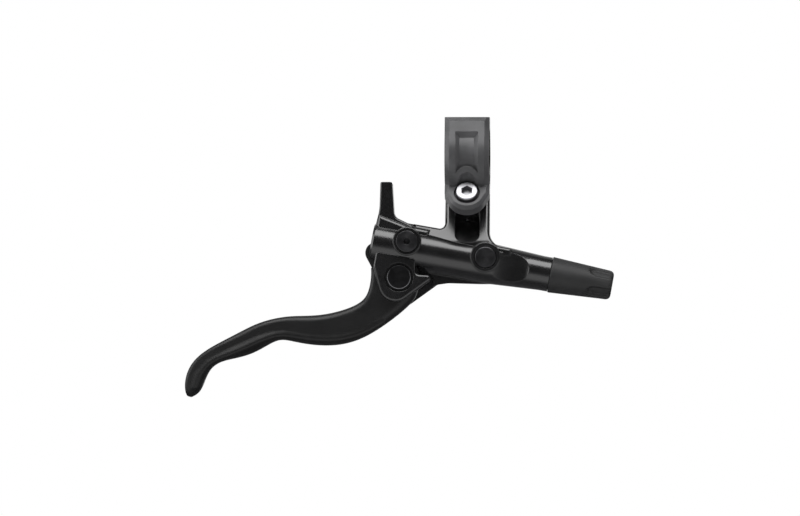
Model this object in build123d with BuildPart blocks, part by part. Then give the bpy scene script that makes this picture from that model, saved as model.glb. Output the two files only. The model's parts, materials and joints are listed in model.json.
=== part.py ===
from build123d import *
from math import cos, radians, sin, sqrt, tan
import os

# Hydraulic brake lever for a flat handlebar, in millimetres.
# X runs along the handlebar, Z is up and the front looks along -Y.
# The origin is the centre of the handlebar inside the clamp.

# Fits
running_fit = 0.04
thread_clearance = 0.05
side_clearance = 0.3
cut_past = 1.0

# Handlebar clamp and its hinge
bar_diameter = 22.2
bar_clearance = 0.04
clamp_width = 17.1
clamp_wall = 3.2
clamp_gap = 1.2
hinge_lean = 19.8
hinge_wall = 2.8
knuckle_radius = 2.2
hinge_pin_diameter = 2.0
centre_knuckle_width = 7.7
knuckle_gap = 0.3
hinge_slit = 0.8
band_chamfer = 1.8
fascia_foot = 5.8
fascia_top = 15.2
fascia_edge = 1.6
fascia_lean = 24.0
panel_depth = 1.4
panel_floor_width = 5.6
panel_mouth_width = 8.6
panel_start = 43.5
panel_sweep = 82.0
panel_end_slope = 55.0
panel_arch = 6.4

# Clamp bolt, leaning up towards the front
bolt_tilt = 36.0
bolt_wall = 3.8
bolt_diameter = 5.0
bolt_head_diameter = 8.3
bolt_head_height = 3.4
bolt_head_rise = 1.9
bolt_socket = 4.0
bolt_socket_depth = 2.4
bolt_edge = 0.5
bolt_thread_depth = 9.0
lug_radius = 7.4
lug_corner = 2.2
lug_corner_rise = 0.8
lug_top = 5.0
lug_edge = 1.2
lug_floor = 2.6
lug_rim = 0.6
head_clearance = 0.8
bolt_clearance = 0.7

# Legs between the clamp and the barrel, with the pocket between them
leg_front = -7.4
leg_rear = 8.0
leg_edge = 1.4
leg_sink = 1.5
leg_lean = 28.0
leg_lean_foot = 33.0
leg_lean_round = 6.0
boss_foot = 25.0
shoulder_drop = 33.7
shoulder_reach = 8.5
shoulder_round = 5.5
ledge_drop = 27.9
ledge_reach = 12.0
ledge_round = 2.0
pocket_width = 9.4
pocket_floor = 0.8
pocket_level = -24.0
pocket_low = 11.5
pocket_high = 0.9
pocket_slope = 31.0
pocket_round = 3.0

# Master-cylinder barrel, its axis falling to the right
barrel_drop = 39.5
barrel_depth = -2.0
barrel_tilt = 10.2
barrel_radius = 7.8
barrel_left = -37.4
barrel_edge = 0.8
barrel_taper_start = 9.0
tube_radius = 6.65
tube_start = 29.0
tube_end = 32.2
bore_end = 12.8
scoop_along = 17.2
scoop_radius = 12.6
scoop_floor = 4.8

# Reservoir block behind the barrel, with a keel below it
block_top = 9.75
block_shoulder = 3.0
block_right = 11.5
block_right_top = 6.9
block_lean = 4.0
block_foot = 5.0
block_foot_drop = 0.6
block_sink = 1.0
block_rear = 13.0
block_edge = 2.0
rear_edge = 1.6
keel_end = -13.0
keel_end_depth = 5.8
keel_left = -9.5
keel_depth = 3.7
keel_middle = -5.5
keel_middle_depth = 2.4
cavity_left = -27.0
cavity_right = 4.0
cavity_low = -5.0
cavity_high = 5.4
cavity_depth = 4.4
cavity_corner = 3.0
port_diameter = 1.2
port_places = [-2.5, 3.2]
rim_width = 1.2
rim_depth = 0.8
dish_depth = 2.6
lid_left = -34.5
lid_right = 9.6
lid_thickness = 2.2
lid_margin = 0.2
lid_corner = 3.0
lid_edge = 0.8
lid_screw_inset = 3.0
lid_screw_diameter = 2.5
lid_screw_depth = 6.0
screw_head_diameter = 4.4
screw_head_height = 0.9
screw_socket = 1.5

# Pivot ears and pin
pivot_along = -24.5
pivot_below = 11.2
ear_gap = 10.0
ear_thickness = 2.3
ear_edge = 1.2
ear_round = 6.5
ear_corner = 1.5
ear_knee_round = 3.0
ear_left_inset = 2.4
ear_root_sink = 5.3
ear_knee = 9.0
ear_bridge_reach = 5.2
ear_ledge_reach = 5.9
ear_ledge_rise = 2.3
ear_tip_reach = 14.6
ear_tip_rise = 3.3
ear_point_shift = -2.7
ear_point_drop = 14.6
rear_tip_shift = 1.9
rear_point_shift = 1.2
rear_point_drop = 2.6
pivot_diameter = 5.0
pivot_head_diameter = 9.3
pivot_head_height = 1.3
pivot_head_recess = 11.2
pivot_head_sink = 0.2
pivot_head_edge = 0.4
pivot_end = 1.6
clip_depth = 0.5
clip_thickness = 0.6
clip_width = 1.8
clip_room = 0.4

# Lever tang, its slot and the push rod
slot_end = -15.5
slot_top = 4.5
slot_corner = 2.0
slot_ramp = 4.0
slot_ramp_top = 6.2
slot_ramp_foot = 9.4
tang_round = 7.6
nose_reach = 10.5
nose_rise = 7.6
nose_round = 4.0
trunnion_lead = 10.0
trunnion_diameter = 5.0
trunnion_wall = 1.7
fork_gap = 4.4
fork_floor = 3.8
bush_wall = 1.0
bush_length = 3.4
blade_width = 11.0
finger_round = 0.38
back_round = 0.24
rod_diameter = 3.0
rod_tail = 4.5
rod_socket = 2.0
ball_radius = 1.8
cup_depth = 3.0

# Piston, seals and return spring
piston_diameter = 10.0
piston_rear = -14.0
piston_length = 18.0
piston_land = 1.4
piston_waist = 8.0
seal_width = 1.8
seal_depth = 1.1
seal_play = 0.1
spigot_diameter = 4.8
spigot_length = 2.0
spring_wire = 0.8
spring_turns = 4
stop_ring_start = -15.2
stop_ring_width = 1.0
stop_ring_depth = 0.5

# Ports on the front of the barrel
bleed_along = -23.9
bleed_above = 2.9
bleed_boss_radius = 5.5
boss_rise = 0.6
boss_edge = 0.5
bleed_thread_diameter = 5.0
bleed_thread_depth = 2.8
bleed_head_diameter = 8.3
bleed_head_height = 1.3
bleed_socket = 2.5
bleed_socket_depth = 1.6
bleed_passage_rise = 1.2
ring_height = 0.6
ring_margin = 0.4
head_edge = 0.4
plug_along = 6.8
plug_above = 2.24
plug_boss_radius = 5.8
plug_boss_rise = 0.8
plug_diameter = 8.0
plug_height = 1.3
plug_seat_depth = 0.9
plug_stem_diameter = 4.0
plug_stem_length = 2.0

# Support arm that bears on the bar
arm_left = -33.7
arm_right = -28.7
arm_front = -5.6
arm_rear = 4.2
arm_draft = 0.7
arm_shoulder = -20.5
arm_base = -32.0
arm_spread = 3.0
arm_bend = 20.0
arm_flare = 9.0
arm_flare_start = 2.5
arm_flare_drop = 4.0
arm_flare_round = 3.0
arm_edge = 0.9
lip_left_rise = 3.4
lip_right = -24.9
lip_right_rise = 1.1
lip_end = -16.0
lip_end_rise = 0.9
lip_front = 4.6
lip_round = 1.8

# Hose fitting and its boot
fitting_diameter = 8.0
hose_diameter = 5.0
hose_clearance = 0.1
hose_bolt_hexagon = 8.0
hose_bolt_head = 4.5
hose_bolt_thread = 9.0
olive_length = 2.6
olive_bulge = 0.2
boot_gap = 0.1
boot_length = 24.2
boot_radius = 6.95
boot_end_radius = 5.3
boot_mouth = 5.0
boot_pocket = 9.0
boot_edge = 0.4
boot_end_edge = 1.6
flute_count = 4
flute_radius = 3.0
flute_depth = 0.8
flute_length = 9.0
flute_taper = 8.0

# Derived clamp places
bore_radius = bar_diameter / 2 + bar_clearance
clamp_radius = bore_radius + clamp_wall
half_clamp = clamp_width / 2
hinge_reach = bore_radius + hinge_wall
bolt_distance = bore_radius + bolt_wall + bolt_diameter / 2
far = 3 * clamp_radius
lean = radians(hinge_lean)
tilt = radians(bolt_tilt)
hinge_direction = Vector(0, sin(lean), cos(lean))
hinge_front = Vector(0, -cos(lean), sin(lean))
hinge_centre = hinge_direction * hinge_reach
bolt_direction = Vector(0, -cos(tilt), sin(tilt))
bolt_inward = Vector(0, sin(tilt), cos(tilt))
bolt_seat = bolt_head_rise - bolt_head_height
lug_face = bolt_seat - lug_floor
thread_face = lug_face - clamp_gap
bolt_plane = Plane(origin=bolt_inward * -bolt_distance, x_dir=(1, 0, 0), z_dir=bolt_direction)
fascia_front = -sqrt(clamp_radius**2 - fascia_foot**2)
fascia_rear = fascia_front + (fascia_top - fascia_edge - fascia_foot) * tan(radians(fascia_lean))
panel_angle = radians(panel_start)
panel_end = radians(panel_sweep - panel_start)
panel_plane = Plane(
    origin=(0, 0, 0), x_dir=(1, 0, 0), z_dir=(0, -cos(panel_angle), -sin(panel_angle))
)
panel_end_lean = panel_end + radians(90 - panel_end_slope)
panel_end_plane = Plane(
    origin=Vector(0, -cos(panel_end), sin(panel_end)) * clamp_radius,
    x_dir=(1, 0, 0),
    z_dir=(0, sin(panel_end_lean), cos(panel_end_lean)),
)
pocket_angle = radians(pocket_slope)
pocket_plane = Plane(
    origin=(0, pocket_floor, pocket_level), x_dir=(1, 0, 0), z_dir=(0, -cos(pocket_angle), sin(pocket_angle))
)

# Derived barrel places: side_plane has x along the barrel, y up across it and z to the front
slope = radians(barrel_tilt)
barrel_direction = Vector(cos(slope), 0, -sin(slope))
side_plane = Plane(origin=(0, barrel_depth, -barrel_drop), x_dir=barrel_direction, z_dir=(0, -1, 0))
top_plane = Plane(origin=side_plane.origin, x_dir=barrel_direction, z_dir=side_plane.y_dir)
barrel_axis = Axis(side_plane.origin, barrel_direction)
leg_bottom = -barrel_drop + leg_sink
boss_face = barrel_radius + boss_rise
plug_boss_face = barrel_radius + plug_boss_rise
cavity_centre = ((cavity_left + cavity_right) / 2, (cavity_low + cavity_high) / 2)
lid_screw_places = [
    (lid_left + lid_screw_inset, cavity_centre[1]),
    (lid_right - lid_screw_inset, cavity_centre[1]),
]
olive_end = tube_end - hose_bolt_thread
lid_face = side_plane.offset(-block_rear - lid_thickness)
bleed_plane = side_plane.shift_origin(side_plane.from_local_coords((bleed_along, bleed_above, 0)))
plug_plane = side_plane.shift_origin(side_plane.from_local_coords((plug_along, plug_above, 0)))

# Derived pivot places: pivot_plane has the directions of side_plane
pivot = side_plane.from_local_coords(Vector(pivot_along, -pivot_below, 0))
pivot_plane = side_plane.shift_origin(pivot)
ear_inner = ear_gap / 2
ear_outer = ear_inner + ear_thickness
tang_width = ear_gap - 2 * side_clearance
ear_left = barrel_left + ear_left_inset
ear_root = -barrel_radius + ear_root_sink
ear_corners = [
    (ear_left, ear_root),
    (pivot_along + ear_bridge_reach, ear_root),
    (pivot_along + ear_ledge_reach, -pivot_below + ear_ledge_rise),
    (pivot_along + ear_tip_reach, -pivot_below + ear_tip_rise),
    (pivot_along + ear_point_shift, -pivot_below - ear_point_drop),
    (ear_left, -ear_knee),
]
ear_rounds = [ear_corner, ear_corner, ear_corner, ear_corner, ear_round, ear_knee_round]
rear_ear_right = pivot_along + ear_tip_reach + rear_tip_shift
rear_ear_corners = [
    (ear_left, ear_root),
    (rear_ear_right, ear_root),
    (rear_ear_right, -pivot_below + ear_tip_rise - rear_tip_shift),
    (
        pivot_along + ear_point_shift + rear_point_shift,
        -pivot_below - ear_point_drop - rear_point_drop,
    ),
    (ear_left, -ear_knee),
]
rear_ear_rounds = [ear_corner, ear_corner, ear_corner, ear_round + rear_point_shift, ear_knee_round]
lead = radians(trunnion_lead)
trunnion = Vector(-pivot_below * sin(lead), pivot_below * cos(lead), 0)
trunnion_plane = pivot_plane.shift_origin(pivot_plane.from_local_coords(trunnion))
rod_section = Plane(origin=trunnion_plane.origin, x_dir=(0, -1, 0), z_dir=barrel_direction)
rod_reach = piston_rear - pivot_along - trunnion.X

os.makedirs("parts", exist_ok=True)


def barrel_section(along):
    """Plane across the barrel at a distance along its axis, facing the hose end."""
    return Plane(origin=side_plane.from_local_coords((along, 0, 0)), x_dir=(0, -1, 0), z_dir=barrel_direction)


def front_region(bolt_level, hinge_shift):
    """Corners, in the clamp's cross-section, of all that lies in front of the clamp's split."""
    corners = [
        hinge_direction * far + hinge_front * hinge_shift,
        hinge_direction * hinge_wall + hinge_front * hinge_shift,
        bolt_inward * (-bore_radius / 2) + bolt_direction * bolt_level,
        bolt_inward * -far + bolt_direction * bolt_level,
        Vector(0, -2 * far, -far),
        Vector(0, -2 * far, far),
    ]
    return [(corner.Y, corner.Z) for corner in corners]


# Clamp half and legs
with BuildPart() as clamp_half:
    # Legs, with rounded front and rear edges and a wide shoulder to the hose tube
    with BuildSketch(Plane.XZ.offset(-leg_front)):
        with BuildLine():
            right = FilletPolyline(
                (half_clamp, -bore_radius),
                (half_clamp, -shoulder_drop),
                (half_clamp + shoulder_reach, -shoulder_drop - shoulder_reach * sin(slope)),
                radius=shoulder_round,
            )
            left = FilletPolyline(
                (-half_clamp, -bore_radius),
                (-half_clamp, -ledge_drop),
                (-half_clamp - ledge_reach, -ledge_drop + ledge_reach * sin(slope)),
                radius=ledge_round,
            )
            Polyline(
                right @ 1,
                (half_clamp + shoulder_reach, leg_bottom),
                (-half_clamp - ledge_reach, leg_bottom),
                left @ 1,
            )
            Line(right @ 0, left @ 0)
        make_face()
    extrude(amount=leg_front - leg_rear)
    # Their front leans back towards the clamp
    with BuildSketch(Plane.YZ):
        with BuildLine():
            leaning = FilletPolyline(
                (leg_front + (leg_lean_foot - bore_radius) * tan(radians(leg_lean)), -bore_radius),
                (leg_front, -leg_lean_foot),
                (leg_front, -far),
                radius=leg_lean_round,
            )
            Polyline(leaning @ 1, (leg_rear, -far), (leg_rear, -bore_radius), leaning @ 0)
        make_face()
    extrude(amount=far, both=True, mode=Mode.INTERSECT)
    leg_rims = faces().filter_by(lambda face: abs(face.normal_at().Y) > 0.5).edges()
    fillet(leg_rims.filter_by(Axis.X, reverse=True), leg_edge)
    # Boss of the clamp bolt's thread, between the legs
    with BuildSketch(Plane.XZ.offset(-leg_front)):
        with Locations((0, -(bore_radius + boss_foot) / 2)):
            Rectangle(pocket_width, boss_foot - bore_radius)
    extrude(amount=leg_front - leg_rear + leg_edge)
    with BuildSketch(Plane.YZ):
        Circle(clamp_radius)
    extrude(amount=half_clamp, both=True)
    with BuildSketch(Plane.YZ):
        with BuildLine():
            Polyline(*front_region(thread_face, -hinge_slit / 2), close=True)
        make_face()
    extrude(amount=far, both=True, mode=Mode.SUBTRACT)
    with BuildSketch(Plane.YZ):
        with Locations((hinge_centre.Y, hinge_centre.Z)):
            Circle(knuckle_radius)
    extrude(amount=half_clamp, both=True)
    # Room for the band's knuckle between the two outer knuckles
    with BuildSketch(Plane.YZ):
        with Locations((hinge_centre.Y, hinge_centre.Z)):
            Circle(knuckle_radius + knuckle_gap)
    extrude(amount=centre_knuckle_width / 2 + knuckle_gap, both=True, mode=Mode.SUBTRACT)

# Reservoir block behind the barrel, with a keel below it
with BuildPart() as reservoir_block:
    with BuildSketch(side_plane.offset(-block_rear)):
        with BuildLine():
            FilletPolyline(
                (barrel_left + barrel_edge, block_top),
                (block_shoulder, block_top),
                (block_right, block_right_top),
                (block_right + block_lean, -barrel_radius + block_sink),
                (block_right - block_foot, -barrel_radius - block_foot_drop),
                (keel_middle, -barrel_radius - keel_middle_depth),
                (keel_left, -barrel_radius - keel_depth),
                (keel_end, -barrel_radius - keel_end_depth),
                (barrel_left + barrel_edge, -barrel_radius + block_sink),
                close=True,
                radius=block_edge,
            )
        make_face()
    extrude(amount=block_rear)
    fillet(faces().sort_by(Axis.Y)[-1].edges(), rear_edge)

# Pivot ears, the rear one larger
with BuildPart() as ears:
    with BuildSketch(side_plane.offset(-ear_outer)):
        with BuildLine():
            FilletPolyline(*ear_corners, close=True, radius=ear_rounds)
        make_face()
    extrude(amount=2 * ear_outer)
    fillet(faces().sort_by(Axis.Y)[0].edges(), ear_edge)
    with BuildSketch(side_plane.offset(-ear_outer)):
        with BuildLine():
            FilletPolyline(*rear_ear_corners, close=True, radius=rear_ear_rounds)
        make_face()
    extrude(amount=ear_thickness)

# Support arm, hollowed at its end to the bar
with BuildPart() as support_arm:
    with BuildSketch(Plane.XZ.offset(-arm_front)):
        with BuildLine():
            outer = FilletPolyline(
                (arm_left + arm_draft, 0),
                (arm_left, arm_shoulder),
                (arm_left - arm_spread, arm_base),
                radius=arm_bend,
            )
            inner = FilletPolyline(
                (arm_right - arm_draft, 0),
                (arm_right + arm_draft, arm_shoulder - arm_flare_start),
                (arm_right + arm_flare, arm_shoulder - arm_flare_start - arm_flare_drop),
                (arm_right + arm_flare, arm_base),
                radius=arm_flare_round,
            )
            Line(outer @ 0, inner @ 0)
            Line(outer @ 1, inner @ 1)
        make_face()
    extrude(amount=arm_front - arm_rear)
    fillet(faces().sort_by(Axis.Y)[0].edges() + faces().sort_by(Axis.Y)[-1].edges(), arm_edge)

# Rounded lip where the support arm stands on the barrel
with BuildPart() as arm_lip:
    with BuildSketch(side_plane):
        with BuildLine():
            Polyline(
                (barrel_left + barrel_edge, 0),
                (barrel_left + barrel_edge, barrel_radius + lip_left_rise),
                (lip_right, barrel_radius + lip_right_rise),
                (lip_end, barrel_radius + lip_end_rise),
                (lip_end, 0),
                close=True,
            )
        make_face()
    extrude(amount=lip_front)
    fillet(faces().sort_by(Axis.Y)[0].edges(), lip_round)

# Housing casting: all these forms, bored and hollowed
with BuildPart() as housing:
    # Barrel and hose tube, turned about their own axis
    with BuildSketch(side_plane):
        with BuildLine():
            Polyline(
                (barrel_left, 0),
                (barrel_left, barrel_radius - barrel_edge),
                (barrel_left + barrel_edge, barrel_radius),
                (barrel_taper_start, barrel_radius),
                (tube_start, tube_radius),
                (tube_end, tube_radius),
                (tube_end, 0),
                close=True,
            )
        make_face()
    revolve(axis=barrel_axis)
    # Scoop in the front, between the plugged port and the tube's end
    with BuildSketch(top_plane):
        with Locations((scoop_along, -scoop_floor - scoop_radius)):
            Circle(scoop_radius)
    extrude(amount=barrel_radius, both=True, mode=Mode.SUBTRACT)
    add(reservoir_block.part)
    add(ears.part)
    add(support_arm.part)
    add(arm_lip.part)
    add(clamp_half.part)

    # Bosses of the bleed port and the plugged port
    with BuildSketch(side_plane):
        with Locations((bleed_along, bleed_above)):
            Circle(bleed_boss_radius)
    extrude(amount=boss_face)
    fillet(faces().sort_by(Axis.Y)[0].edges(), boss_edge)
    with BuildSketch(side_plane):
        with Locations((plug_along, plug_above)):
            Circle(plug_boss_radius)
    extrude(amount=plug_boss_face)
    fillet(faces().sort_by(Axis.Y)[0].edges(), boss_edge)

    # Handlebar bore, which also hollows the end of the support arm
    with BuildSketch(Plane.YZ):
        Circle(bore_radius)
    extrude(amount=2 * far, both=True, mode=Mode.SUBTRACT)

    # Slot for the lever's tang, open below and at the left
    with BuildSketch(side_plane.offset(-ear_inner)):
        with BuildLine():
            FilletPolyline(
                (slot_end, slot_top),
                (slot_end, -slot_ramp_top),
                (slot_end + slot_ramp, -slot_ramp_foot),
                (slot_end + slot_ramp, -far),
                (barrel_left - 2 * slot_corner, -far),
                (barrel_left - 2 * slot_corner, slot_top),
                close=True,
                radius=slot_corner,
            )
        make_face()
    extrude(amount=ear_gap, mode=Mode.SUBTRACT)

    # Piston bore, the seat of the hose and the threaded hole of its fitting
    with BuildSketch(barrel_section(slot_end - slot_corner)):
        Circle(piston_diameter / 2 + running_fit)
    extrude(amount=bore_end - slot_end + slot_corner, mode=Mode.SUBTRACT)
    with BuildSketch(barrel_section(bore_end - cut_past)):
        Circle(hose_diameter / 2 + hose_clearance)
    extrude(amount=tube_end - bore_end + 2 * cut_past, mode=Mode.SUBTRACT)
    with BuildSketch(barrel_section(olive_end - olive_length - olive_bulge)):
        Circle(fitting_diameter / 2 + thread_clearance)
    extrude(amount=far, mode=Mode.SUBTRACT)

    with BuildSketch(barrel_section(stop_ring_start)):
        Circle(piston_diameter / 2 + stop_ring_depth + running_fit)
    extrude(amount=stop_ring_width, mode=Mode.SUBTRACT)

    # Pivot hole through both ears and the recess of the pin's head
    with BuildSketch(pivot_plane.offset(-2 * ear_outer)):
        Circle(pivot_diameter / 2 + running_fit)
    extrude(amount=4 * ear_outer, mode=Mode.SUBTRACT)
    with BuildSketch(pivot_plane.offset(ear_outer - pivot_head_height - pivot_head_sink)):
        Circle(pivot_head_recess / 2)
    extrude(amount=ear_thickness, mode=Mode.SUBTRACT)

    with BuildSketch(pivot_plane.offset(-ear_outer)):
        Circle(pivot_diameter / 2 + clip_width + clip_room)
    extrude(amount=-far, mode=Mode.SUBTRACT)

    # Reservoir, its ports to the bore and the lid's screw holes
    with BuildSketch(side_plane.offset(-block_rear)):
        with Locations(cavity_centre):
            RectangleRounded(cavity_right - cavity_left, cavity_high - cavity_low, cavity_corner)
    extrude(amount=cavity_depth, mode=Mode.SUBTRACT)
    with BuildSketch(side_plane.offset(-block_rear)):
        with Locations(cavity_centre):
            RectangleRounded(
                cavity_right - cavity_left + 2 * rim_width,
                cavity_high - cavity_low + 2 * rim_width,
                cavity_corner + rim_width,
            )
    extrude(amount=rim_depth, mode=Mode.SUBTRACT)
    with BuildSketch(side_plane.offset(-block_rear + cavity_depth - cut_past)):
        with Locations(*[(place, 0) for place in port_places]):
            Circle(port_diameter / 2)
    extrude(amount=block_rear - cavity_depth + cut_past, mode=Mode.SUBTRACT)
    # Passage from the reservoir, over the slot, to the bleed port
    with BuildSketch(side_plane.offset(-block_rear + cavity_depth - cut_past)):
        with Locations((bleed_along, slot_top + bleed_passage_rise)):
            Circle(port_diameter / 2)
    bleed_passage = block_rear - cavity_depth + boss_face - bleed_thread_depth + 2 * cut_past
    extrude(amount=bleed_passage, mode=Mode.SUBTRACT)
    with BuildSketch(side_plane.offset(-block_rear)):
        with Locations(*lid_screw_places):
            Circle(lid_screw_diameter / 2 + thread_clearance)
    extrude(amount=lid_screw_depth, mode=Mode.SUBTRACT)

    # Threaded hole of the bleed screw and the seat of the port plug
    with BuildSketch(side_plane.offset(boss_face - bleed_thread_depth)):
        with Locations((bleed_along, bleed_above)):
            Circle(bleed_thread_diameter / 2 + thread_clearance)
    extrude(amount=far, mode=Mode.SUBTRACT)
    with BuildSketch(side_plane.offset(plug_boss_face - plug_seat_depth)):
        with Locations((plug_along, plug_above)):
            Circle(plug_diameter / 2 + side_clearance)
    extrude(amount=far, mode=Mode.SUBTRACT)
    with BuildSketch(side_plane):
        with Locations((plug_along, plug_above)):
            Circle(plug_stem_diameter / 2 + running_fit)
    extrude(amount=far, mode=Mode.SUBTRACT)

    # Pocket between the legs, the clamp bolt's thread and the hinge pin's hole
    with BuildSketch(pocket_plane):
        with Locations((0, -(pocket_low + pocket_high) / 2)):
            Rectangle(pocket_width, pocket_low - pocket_high)
        fillet(vertices().group_by(Axis.Z)[0], pocket_round)
    extrude(amount=far, mode=Mode.SUBTRACT)
    with BuildSketch(bolt_plane.offset(thread_face)):
        Circle(bolt_diameter / 2 + thread_clearance)
    extrude(amount=-bolt_thread_depth - clamp_gap, mode=Mode.SUBTRACT)
    with BuildSketch(Plane.YZ):
        with Locations((hinge_centre.Y, hinge_centre.Z)):
            Circle(hinge_pin_diameter / 2 + running_fit)
    extrude(amount=clamp_width, both=True, mode=Mode.SUBTRACT)
housing.part.label = "lever_housing"
export_step(housing.part, "parts/lever_housing.step")

# Recess of the band's panel, sloped at its top end and arched round the bolt
with BuildPart() as panel:
    with BuildSketch(panel_plane):
        with BuildLine():
            Polyline(
                (-panel_floor_width / 2, clamp_radius - panel_depth),
                (panel_floor_width / 2, clamp_radius - panel_depth),
                (panel_mouth_width / 2, clamp_radius),
                (panel_mouth_width / 2, clamp_radius + 2 * panel_depth),
                (-panel_mouth_width / 2, clamp_radius + 2 * panel_depth),
                (-panel_mouth_width / 2, clamp_radius),
                close=True,
            )
        make_face()
    revolve(axis=Axis.X, revolution_arc=panel_sweep)
    split(bisect_by=panel_end_plane, keep=Keep.BOTTOM)
    with BuildSketch(bolt_plane):
        Circle(panel_arch)
    extrude(amount=far, both=True, mode=Mode.SUBTRACT)

# Bolt lug of the band, as wide as the band and rounded below
with BuildPart() as lug:
    with BuildSketch(bolt_plane.offset(lug_face)):
        Circle(lug_radius)
        for side in (half_clamp - lug_corner, lug_corner - half_clamp):
            with Locations((side, lug_corner_rise), (side, lug_top)):
                Circle(lug_corner)
        make_hull()
    extrude(amount=lug_rim - lug_face)
    chamfer(faces().sort_by(Axis(bolt_plane.origin, bolt_direction))[-1].edges(), lug_edge)

# Clamp band: front half of the clamp, with its panel and bolt lug
with BuildPart() as band:
    with BuildSketch(Plane.YZ):
        Circle(clamp_radius)
        # Flat face above the panel, up to the hinge
        with BuildLine():
            Polyline(
                (fascia_front, fascia_foot),
                (fascia_rear, fascia_top - fascia_edge),
                (fascia_rear + fascia_edge, fascia_top),
                (hinge_centre.Y, fascia_top),
                (hinge_centre.Y, fascia_foot),
                close=True,
            )
        make_face()
        with BuildLine():
            Polyline(*front_region(lug_face, hinge_slit / 2), close=True)
        make_face(mode=Mode.INTERSECT)
    extrude(amount=half_clamp, both=True)
    chamfer(edges().filter_by(GeomType.CIRCLE), band_chamfer)
    add(lug.part)
    add(panel.part, mode=Mode.SUBTRACT)
    # Centre knuckle, with room for the two outer ones
    with BuildSketch(Plane.YZ):
        with Locations((hinge_centre.Y, hinge_centre.Z)):
            Circle(knuckle_radius)
    extrude(amount=centre_knuckle_width / 2, both=True)
    for side in (1, -1):
        with BuildSketch(Plane.YZ.offset(side * centre_knuckle_width / 2)):
            with Locations((hinge_centre.Y, hinge_centre.Z)):
                Circle(knuckle_radius + knuckle_gap)
        extrude(amount=side * half_clamp, mode=Mode.SUBTRACT)
    with BuildSketch(Plane.YZ):
        Circle(bore_radius)
        with Locations((hinge_centre.Y, hinge_centre.Z)):
            Circle(hinge_pin_diameter / 2 + running_fit)
    extrude(amount=clamp_width, both=True, mode=Mode.SUBTRACT)
    # Seat of the bolt's head and its clearance hole
    with BuildSketch(bolt_plane.offset(bolt_seat)):
        Circle(bolt_head_diameter / 2 + head_clearance)
    extrude(amount=far, mode=Mode.SUBTRACT)
    with BuildSketch(bolt_plane.offset(thread_face)):
        Circle(bolt_diameter / 2 + bolt_clearance)
    extrude(amount=far, mode=Mode.SUBTRACT)
band.part.label = "clamp_band"
export_step(band.part, "parts/clamp_band.step")

with BuildPart() as hinge_pin:
    with BuildSketch(Plane.YZ):
        with Locations((hinge_centre.Y, hinge_centre.Z)):
            Circle(hinge_pin_diameter / 2)
    extrude(amount=half_clamp - knuckle_gap, both=True)
hinge_pin.part.label = "clamp_hinge_pin"
export_step(hinge_pin.part, "parts/clamp_hinge_pin.step")

# Clamp bolt, with a hexagon socket
with BuildPart() as clamp_bolt:
    with BuildSketch(bolt_plane.offset(bolt_seat)):
        Circle(bolt_head_diameter / 2)
    extrude(amount=bolt_head_height)
    fillet(faces().sort_by(Axis(bolt_plane.origin, bolt_direction))[-1].edges(), bolt_edge)
    with BuildSketch(bolt_plane.offset(bolt_seat + bolt_head_height - bolt_socket_depth)):
        RegularPolygon(bolt_socket / 2, 6, major_radius=False, rotation=30)
    extrude(amount=bolt_head_height, mode=Mode.SUBTRACT)
    with BuildSketch(bolt_plane.offset(bolt_seat)):
        Circle(bolt_diameter / 2)
    extrude(amount=thread_face - bolt_seat - bolt_thread_depth)
clamp_bolt.part.label = "clamp_bolt"
export_step(clamp_bolt.part, "parts/clamp_bolt.step")

# Lever blade: rounded sections from the hooked tip to the pivot, given by the
# back edge and the finger edge in the side view, from the pivot, and by the width
blade_stations = [
    ((-81.5, -45.8), (-80.1, -46.2), 0.28 * blade_width),
    ((-82.4, -43.4), (-77.3, -44.4), 0.65 * blade_width),
    ((-82.2, -39.0), (-75.5, -41.4), 0.78 * blade_width),
    ((-78.3, -31.5), (-72.7, -35.6), 0.86 * blade_width),
    ((-69.9, -25.6), (-66.4, -32.0), 0.93 * blade_width),
    ((-51.4, -16.8), (-48.6, -25.1), blade_width),
    ((-43.4, -15.2), (-43.2, -24.3), blade_width),
    ((-33.9, -14.8), (-34.4, -25.9), blade_width),
    ((-24.4, -13.4), (-22.4, -25.9), blade_width),
    ((-17.4, -11.0), (-12.9, -22.8), (blade_width + tang_width) / 2),
    ((-13.4, -8.1), (-4.4, -17.5), tang_width),
    ((-11.8, -5.0), (1.8, -12.6), tang_width),
    ((-10.9, 3.6), (7.2, -4.6), tang_width),
]

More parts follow.
